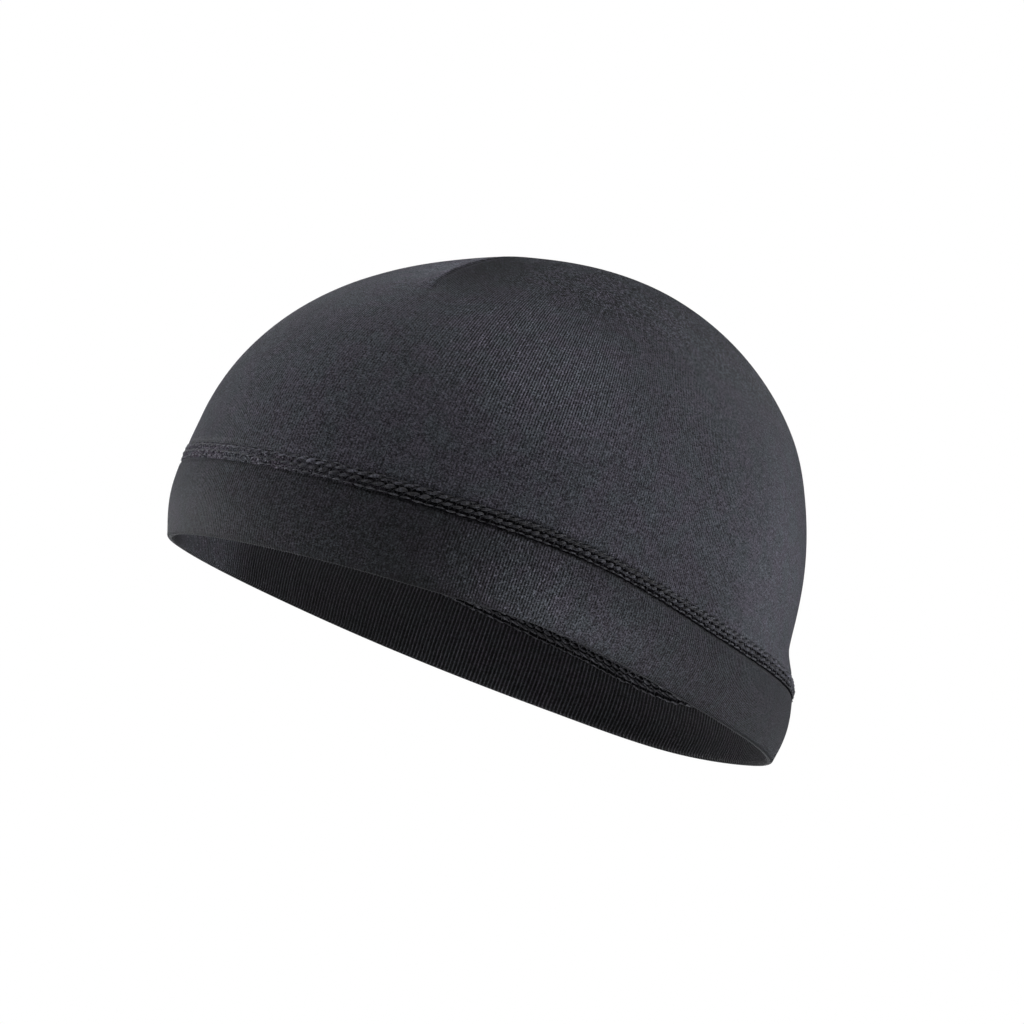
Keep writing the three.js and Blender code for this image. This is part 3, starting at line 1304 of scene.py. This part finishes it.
@dataclass
class FlatlockSeam:
    """The flat seam: its bed of lapped cloth, rows of stitches and the loops between them.

    Lengths are millimetres. The bed's two edges are sunk, its lower one overhangs the band and
    its upper one laps under the crown. A chance value is never more than farthest_chance.
    """

    shape: CapShape
    stitches: int = 176
    crowd: int = 10
    crowd_start: float = 300.0
    crowd_reach: float = 70.0
    proud: float = 0.12
    sunk: float = 0.35
    sunk_power: int = 6
    overhang: float = 0.3
    underlap: float = 0.2
    unevenness: float = 0.32
    sway: float = 0.12
    farthest_chance: float = 1.6
    loop_lean: float = 0.22
    seed: int = 7
    flat_turn: float = 245.0
    flat_reach: float = 40.0
    flattening: float = 0.6
    outer_beads: tuple[Bead, ...] = (
        Bead(0.3, 0.22, 0.9, 0.2, 0.15, 0.0, -0.1, 0.5, 0.9, look=1),
        Bead(1.8, 0.5, 0.7, 0.4, 0.7, 0.5, 0.05, 0.4, 1.2),
        Bead(3.3, 0.44, 0.7, 0.4, 0.7, 0.0, 0.05, 0.35, 1.2, look=2),
        Bead(4.0, 0.2, 0.9, 0.5, 0.4, 0.6, 0.0, 0.3, 1.4, look=1),
    )
    outer_loops: tuple[Loop, ...] = (
        Loop(1.05, 0.75, 0.2, 0.25, 0.05, 0.05),
        Loop(2.6, 0.85, 0.21, 0.75, 0.1, 0.05),
    )
    inner_beads: tuple[Bead, ...] = (
        Bead(0.05, 0.3, 0.8, 0.35, 0.25, 0.2, 0.1, 0.5, 1.0),
        Bead(1.4, 0.44, 0.8, 0.35, 0.6, 0.7, 0.05, 0.5, 1.3),
        Bead(2.8, 0.44, 0.8, 0.35, 0.6, 0.2, 0.05, 0.5, 1.3),
        Bead(4.1, 0.38, 0.8, 0.35, 0.3, 0.7, 0.05, 0.4, 1.2),
    )
    inner_loops: tuple[Loop, ...] = (
        Loop(1.1, 0.95, 0.22, 0.4, 0.2, 0.08),
        Loop(3.0, 0.95, 0.22, 0.9, 0.2, 0.08),
    )
    bed_steps: int = 360
    bed_sides: int = 28
    bead_steps: int = 9
    loop_steps: int = 8
    sides: int = 6

    def run(self, turn: Array) -> Array:
        """Counts the stitches up to each turn, which crowd together over one part of the seam."""
        gone = np.mod(turn - self.crowd_start, FULL_TURN)
        crowded = self.crowd * smoothstep(gone, 0.0, self.crowd_reach)
        return gone / FULL_TURN * self.stitches + crowded

    def row(self, side: Side, turn: Array, across: float) -> Array:
        """Gives how far up a row lies, which is less where the crown's cloth covers more.

        Args:
            side: The face of the cloth.
            turn: The turns.
            across: How far up the row is where the cloth covers least.

        Returns:
            How far up it is at each turn.
        """
        if side is Side.INSIDE:
            return np.full(len(turn), across)
        width = self.shape.seam_width
        return across * (width - self.shape.covered(turn)) / (width - self.shape.cover)

    def standing(self, turn: Array) -> Array:
        """Gives how much of their full height the stitches have, less where they lie flat."""
        lies = near_turn(turn, self.flat_turn, self.flat_reach, self.flat_reach / 2)
        return 1 - self.flattening * lies

    def lay_bed(self, turn: Array, section: Array) -> Array:
        """Lays the bed's section: up its outer face and down its inner face.

        Args:
            turn: The turns.
            section: The places around the section, in degrees.

        Returns:
            The points.
        """
        outside, share = halves(section)
        top = self.shape.seam_width - self.shape.covered(turn) + self.underlap
        height = share * (top + self.overhang) - self.overhang
        proud = self.proud - self.sunk * np.abs(2 * share - 1) ** self.sunk_power
        faces = (self.shape.on_seam(side, turn, height, proud) for side in Side)
        return np.where(outside[:, None], *faces)

    def lay_bead(self, bead: Bead, side: Side, turn: Array, section: Array) -> Array:
        """Lays a row of stitches, each with its own chance fullness and slant.

        Args:
            bead: The row.
            side: The face of the cloth.
            turn: The turns.
            section: The places around the thread, in degrees.

        Returns:
            The points.
        """
        count = self.stitches + self.crowd
        chance = np.random.default_rng(self.seed + round(100 * bead.across))
        drawn = chance.normal(size=(2, count))
        lots = np.clip(drawn, -self.farthest_chance, self.farthest_chance)
        run = self.run(turn) + bead.phase
        stitch, share = np.floor(run).astype(int) % count, np.mod(run, 1.0)
        swell = np.sin(np.pi * share) ** bead.peak
        full = swell * (1 + self.unevenness * lots[0, stitch])
        standing = self.standing(turn)
        radius = bead.radius * (bead.neck + (1 - bead.neck) * full) * standing
        angle = np.radians(section)
        slant = bead.tilt * (share - 0.5) + self.sway * lots[1, stitch] * swell
        across = self.row(side, turn, bead.across) + slant + radius * np.sin(angle)
        proud = bead.base + bead.arch * swell * standing
        proud = proud + radius * bead.flatness * np.cos(angle)
        return self.shape.on_seam(side, turn, across, proud)

    def lay_loop(self, loop: Loop, side: Side, turn: Array, section: Array) -> Array:
        """Lays a winding thread.

        Args:
            loop: The thread.
            side: The face of the cloth.
            turn: The turns.
            section: The places around the thread, in degrees.

        Returns:
            The points.
        """
        phase = 2 * np.pi * (self.run(turn) + loop.phase)
        angle = np.radians(section)
        # the winding leans along the seam, so its threads cross it at a slant
        lean = FULL_TURN / self.stitches * self.loop_lean * np.sin(phase)
        radius = loop.radius * self.standing(turn)
        middle = self.row(side, turn, loop.across)
        across = middle + loop.swing * np.cos(phase) + radius * np.sin(angle)
        proud = loop.base + loop.arch * np.cos(2 * phase) + radius * np.cos(angle)
        return self.shape.on_seam(side, turn + lean, across, proud)

    def build_bed(self) -> bpy.types.Object:
        """Builds the bed.

        Returns:
            The piece.
        """
        stack = RingStack()
        stack.add(self.bed_steps, self.bed_sides, self.lay_bed)
        return stack.finish("seam_bed")

    def build_threads(self, name: str, side: Side) -> bpy.types.Object:
        """Builds the stitches and loops of one face.

        Args:
            name: The piece's name.
            side: The face of the cloth.

        Returns:
            The piece.
        """
        outside = side is Side.OUTSIDE
        stack = RingStack()
        for bead in self.outer_beads if outside else self.inner_beads:
            steps, laid = self.stitches * self.bead_steps, partial(self.lay_bead, bead, side)
            stack.add(steps, self.sides, laid, self.stitches, bead.look)
        for loop in self.outer_loops if outside else self.inner_loops:
            steps, laid = self.stitches * self.loop_steps, partial(self.lay_loop, loop, side)
            stack.add(steps, self.sides - 1, laid, self.stitches, loop.look)
        return stack.finish(name)

    def dress(
        self, bed: bpy.types.Object, outer: bpy.types.Object, inner: bpy.types.Object
    ) -> None:
        """Gives the bed its near-black colour, which is painted shade, and the threads their twist.

        The bed is paler round one place as painted light, and most threads are darker round one
        place as painted shade.

        Args:
            bed: The bed.
            outer: The threads outside.
            inner: The threads inside.
        """
        # and paler round one place as painted light
        # the bed is near-black with no gloss or sheen as painted shade in the gaps between
        # stitches,
        cloth = KnitFinish(
            name="seam_bed_painted_light_and_shade",
            colour=(0.006, 0.006, 0.007),
            wales=700,
            course=0.6,
            painted_light_place=(-22.0, -95.0, 21.0),
            painted_light_reach=66.0,
            painted_light_gain=7.0,
            gloss=0.0,
            sheen=0.0,
        )
        # the plain, edge and top threads are darker round one place, as painted shade
        plain = ThreadFinish("seam_thread", (0.027, 0.028, 0.037))
        edge = ThreadFinish("seam_thread_edge", (0.056, 0.058, 0.070), (58, -62, 22), 75, 0.42)
        top = ThreadFinish("seam_thread_top", (0.057, 0.058, 0.075), (66, -50, 24), 75, 0.73)
        inside = ThreadFinish("seam_thread_inside", (0.060, 0.061, 0.070), painted_shade=0.0)
        # each row of stitches names its thread by its place in this order: plain, edge, top
        for piece, finishes in ((bed, [cloth]), (outer, [plain, edge, top]), (inner, [inside])):
            for finish in finishes:
                piece.data.materials.append(finish.make())


@dataclass(frozen=True)
class Softbox:
    """A soft lamp that faces the cap. Lengths are metres, and its bearing is in degrees."""

    name: str
    bearing: float
    height: float
    watts: float
    distance: float = 1.8
    size: float = 1.2

    def build(self, target: Vector) -> None:
        """Hangs the lamp.

        Args:
            target: The point it faces.
        """
        lamp = bpy.data.lights.new(self.name, "AREA")
        lamp.shape = "SQUARE"
        lamp.size = self.size
        lamp.energy = self.watts
        holder = bpy.data.objects.new(self.name, lamp)
        bearing = math.radians(self.bearing)
        spot = Vector((math.sin(bearing), -math.cos(bearing), 0)) * self.distance
        spot.z = self.height
        holder.location = spot
        holder.rotation_euler = (target - spot).to_track_quat("-Z", "Y").to_euler()
        holder.visible_camera = False
        bpy.context.scene.collection.objects.link(holder)


@dataclass
class Studio:
    """The pale floor, soft lamps and camera. Lengths are metres and angles degrees."""

    azimuth: float = 39.99
    elevation: float = -6.05
    distance: float = 0.8
    roll: float = 19.33
    turn_right: float = 0.78
    turn_up: float = 2.685
    lens: float = 104.3
    nearest: float = 0.01
    floor_drop: float = 1.0
    floor_radius: float = 6.0
    floor_sides: int = 96
    softboxes: tuple[Softbox, ...] = (
        Softbox("left_softbox", -60.0, 0.05, 5.3),
        Softbox("right_softbox", 140.0, 0.05, 4.7),
        Softbox("low_left_softbox", -85.0, -0.7, 21.2),
        Softbox("low_front_left_softbox", -35.0, -0.7, 27.8),
        Softbox("low_front_right_softbox", 65.0, -0.7, 5.6),
        Softbox("low_right_softbox", 115.0, -0.7, 34.4),
        Softbox("high_left_softbox", -27.0, 2.2, 17.5, distance=1.2),
        Softbox("high_right_softbox", 100.0, 2.2, 27.0, distance=1.2),
        Softbox("top_softbox", 0.0, 2.0, 3.2, distance=0.05),
        Softbox("back_softbox", -140.0, 0.05, 4.0),
    )
    aim_height: float = 0.06
    # how pale the surroundings are, by height from straight down (0) to straight up (1)
    sky: tuple[Span, ...] = ((0.2, 0.05), (0.52, 0.05), (0.85, 0.04))

    def camera(self) -> None:
        """Places the camera at the photograph's angle, with the cap where it sits there."""
        bearing, pitch = math.radians(self.azimuth), math.radians(self.elevation)
        right = Vector((math.cos(bearing), math.sin(bearing), 0))
        back = Vector(
            (
                math.sin(bearing) * math.cos(pitch),
                -math.cos(bearing) * math.cos(pitch),
                math.sin(pitch),
            )
        )
        level = Matrix((right, back.cross(right), back)).transposed()
        turned = (
            level
            @ Matrix.Rotation(-math.radians(self.roll), 3, "Z").inverted()
            @ Matrix.Rotation(-math.radians(self.turn_right), 3, "Y")
            @ Matrix.Rotation(math.radians(self.turn_up), 3, "X")
        )
        data = bpy.data.cameras.new("camera")
        data.lens = self.lens
        data.clip_start = self.nearest
        holder = bpy.data.objects.new("camera", data)
        holder.matrix_world = Matrix.Translation(back * self.distance) @ turned.to_4x4()
        bpy.context.scene.collection.objects.link(holder)
        bpy.context.scene.camera = holder

    def floor(self) -> None:
        """Lays the pale floor well under the cap."""
        bm = bmesh.new()
        bmesh.ops.create_circle(
            bm,
            cap_ends=True,
            segments=self.floor_sides,
            radius=self.floor_radius,
            matrix=Matrix.Translation((0, 0, -self.floor_drop)),
        )
        piece = as_piece(bm, "floor")
        piece.data.materials.append(BackdropFinish().make())
        piece.visible_diffuse = False
        piece.visible_glossy = False
        piece.visible_shadow = False

    def surroundings(self) -> None:
        """Sets pale surroundings, whose light on the cap comes mostly from the sides."""
        world = bpy.data.worlds.new("pale_surroundings")
        world.use_nodes = True
        tree = NodeTree(world.node_tree)
        height = tree.parts(tree.node("ShaderNodeTexCoord").outputs["Generated"])[2] * 0.5 + 0.5
        stops = [(place, (light, light, light, 1.0)) for place, light in self.sky]
        pale = tree.node("ShaderNodeValToRGB", {"stops": stops}, {"Fac": height}).outputs["Color"]
        seen = tree.node("ShaderNodeLightPath").outputs["Is Camera Ray"]
        colour = tree.blend(seen, pale, (1.0, 1.0, 1.0, 1.0))
        light = tree.node("ShaderNodeBackground", inputs={"Color": colour})
        tree.node("ShaderNodeOutputWorld", inputs={"Surface": light.outputs["Background"]})
        bpy.context.scene.world = world
        bpy.context.scene.view_settings.view_transform = "Standard"

    def build(self) -> None:
        """Builds the whole studio."""
        self.camera()
        self.floor()
        self.surroundings()
        for softbox in self.softboxes:
            softbox.build(Vector((0, 0, self.aim_height)))


def main() -> None:
    """Builds the studio and each piece of the cap in order."""
    logging.basicConfig(level=logging.INFO, format="%(name)s %(message)s")
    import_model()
    shape = CapShape()
    Studio().build()

    seam = FlatlockSeam(shape)
    bed = told(seam.build_bed(), "flatlock_seam")
    outer = told(seam.build_threads("seam_threads_outside", Side.OUTSIDE), None)
    inner = told(seam.build_threads("seam_threads_inside", Side.INSIDE), None)
    seam.dress(bed, outer, inner)

    crown = Crown(shape, Dart())
    dome = told(crown.build(), "crown")
    crown.dress(dome)
    crown.declare(dome, [bed, outer, inner])

    band = Band(shape)
    strip = told(band.build(), "band")
    band.dress(strip)
    band.declare(strip)


if __name__ == "__main__":
    main()
